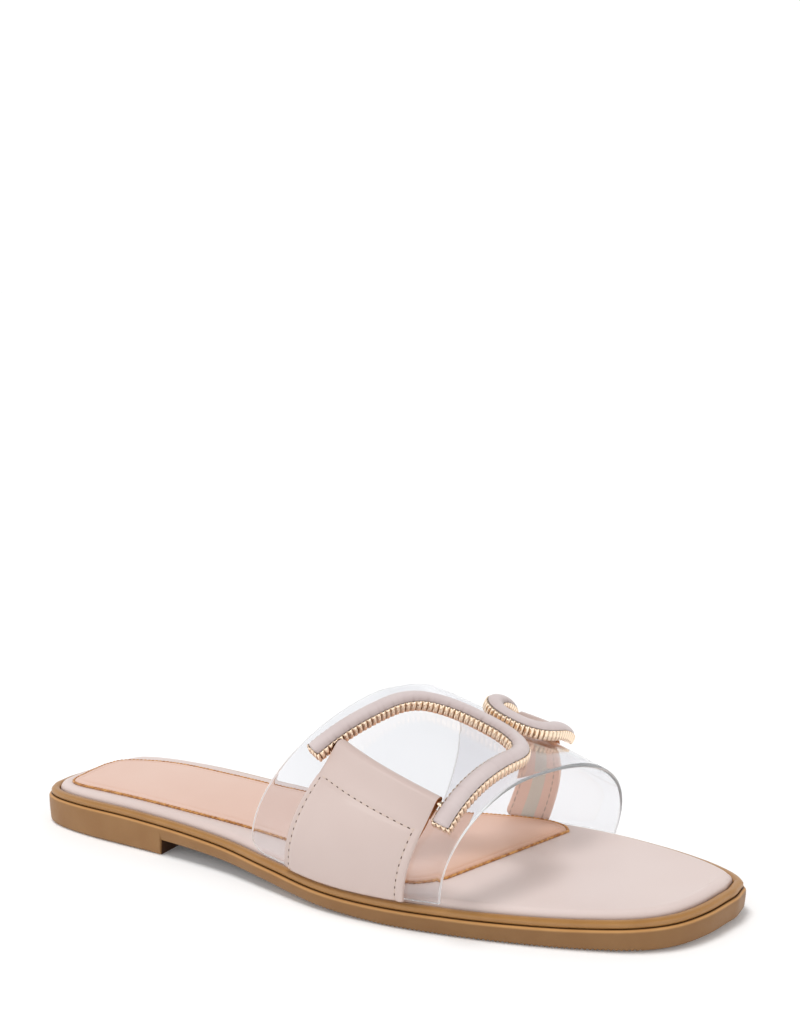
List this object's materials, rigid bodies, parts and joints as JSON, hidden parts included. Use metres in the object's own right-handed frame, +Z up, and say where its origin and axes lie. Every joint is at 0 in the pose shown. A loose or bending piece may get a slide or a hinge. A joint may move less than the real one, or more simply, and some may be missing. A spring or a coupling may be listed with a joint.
{
  "type": "flat_mule",
  "caption": "Right-foot flat slide mule with a low rubber sole, clear vinyl vamp and a D-shaped gold buckle with a padded cord on each side.",
  "frame": {"origin": "on the floor under the middle of the shoe's bounding box", "axes": "+X toe, +Y inner (medial) side, +Z up"},
  "size_m": [0.2624, 0.0954, 0.0654],
  "materials": {
    "gum_rubber": "satin",
    "welt_rubber": "satin",
    "nude_leather": "satin",
    "peach_leather": "satin",
    "clear_vinyl": "clear gloss",
    "patent_leather": "gloss",
    "champagne_gold": "polished",
    "padded_cord": "matte"
  },
  "bodies": {
    "root": {"outsole": "gum_rubber", "welt": "welt_rubber", "footbed": "nude_leather", "insole_pad": "peach_leather", "vamp": "clear_vinyl", "tab_lateral": "patent_leather", "tab_medial": "patent_leather", "buckle_lateral": "champagne_gold", "buckle_medial": "champagne_gold", "inlay_lateral": "padded_cord", "inlay_medial": "padded_cord"}
  },
  "joints": []
}
